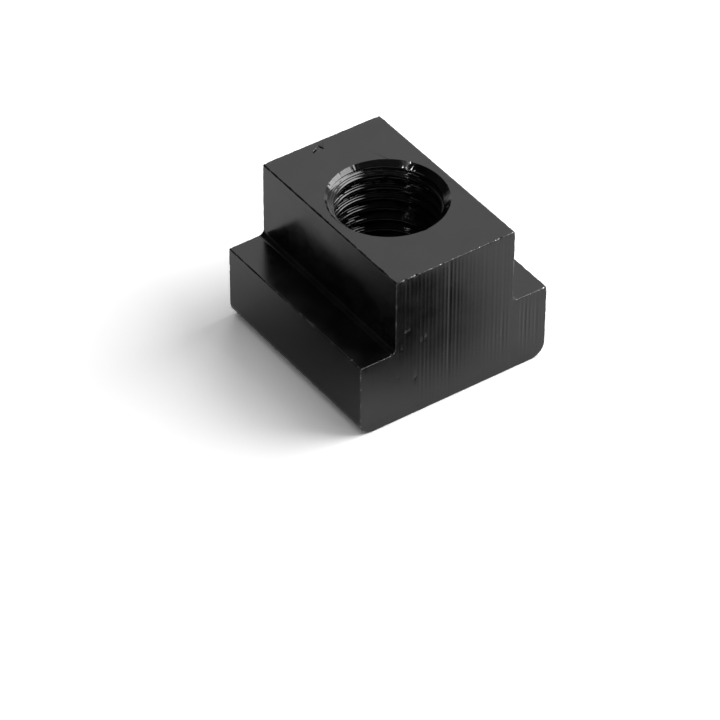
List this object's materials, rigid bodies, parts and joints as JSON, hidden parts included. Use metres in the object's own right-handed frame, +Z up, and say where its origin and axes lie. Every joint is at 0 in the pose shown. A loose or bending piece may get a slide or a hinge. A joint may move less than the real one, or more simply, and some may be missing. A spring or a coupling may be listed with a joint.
{
  "type": "t slot nut",
  "caption": "Black steel nut with a T-shaped section that slides along a machine table's slot and takes a clamping stud through its threaded hole.",
  "frame": {"origin": "centre of the flat underside of the base, on the axis of the thread", "axes": "+Z up along the thread, out of the top of the stem; Y along the slot, parallel to the length of the nut; X across the slot"},
  "size_m": [0.0502, 0.0514, 0.0389],
  "materials": {
    "black_steel": "black oxide, satin"
  },
  "bodies": {
    "root": {"t_slot_nut": "black_steel"}
  },
  "joints": []
}
